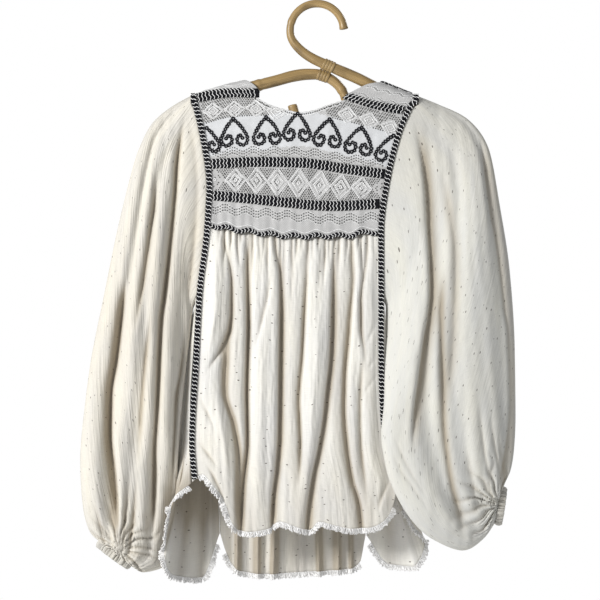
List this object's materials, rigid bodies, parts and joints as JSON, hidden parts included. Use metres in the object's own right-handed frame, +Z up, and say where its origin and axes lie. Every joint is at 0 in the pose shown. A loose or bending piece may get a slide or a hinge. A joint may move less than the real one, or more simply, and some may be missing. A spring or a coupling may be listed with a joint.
{
  "type": "peasant blouse on cane hanger",
  "caption": "Long-sleeved peasant blouse with lace yoke, striped braid, gathered gauze body, lobed fringed hem and full sleeves, draped on a bent cane hanger with an open hook.",
  "frame": {"origin": "inside top of the hanger's hook, where a rail or peg goes", "axes": "+X to the right of someone facing the front, +Z up, the blouse's front faces -Y"},
  "size_m": [0.5663, 0.1013, 0.7643],
  "materials": {
    "gauze": "matte",
    "lace": "matte",
    "braid": "matte",
    "fringe": "matte",
    "cane": "satin",
    "cane_skin": "satin"
  },
  "bodies": {
    "root": {"binding_lower": "cane_skin", "binding_upper": "cane_skin", "braid_back_edge": "braid", "braid_back_lower": "braid", "braid_back_shoulder_left": "braid", "braid_back_shoulder_right": "braid", "braid_back_upper": "braid", "braid_front_edge": "braid", "braid_front_lower": "braid", "braid_front_shoulder_left": "braid", "braid_front_shoulder_right": "braid", "braid_front_upper": "braid", "braid_seam_left": "braid", "braid_seam_right": "braid", "cane_hook_and_right_arm": "cane", "cane_left_arm_and_curl": "cane", "cuff_left": "gauze", "cuff_right": "gauze", "fringe_back": "fringe", "fringe_front": "fringe", "fringe_side_left": "fringe", "fringe_side_right": "fringe", "panel_back": "gauze", "panel_front": "gauze", "side_panel_left": "gauze", "side_panel_right": "gauze", "sleeve_left": "gauze", "sleeve_right": "gauze", "strap_left": "lace", "strap_right": "lace", "yoke_back": "lace", "yoke_front": "lace"}
  },
  "joints": []
}
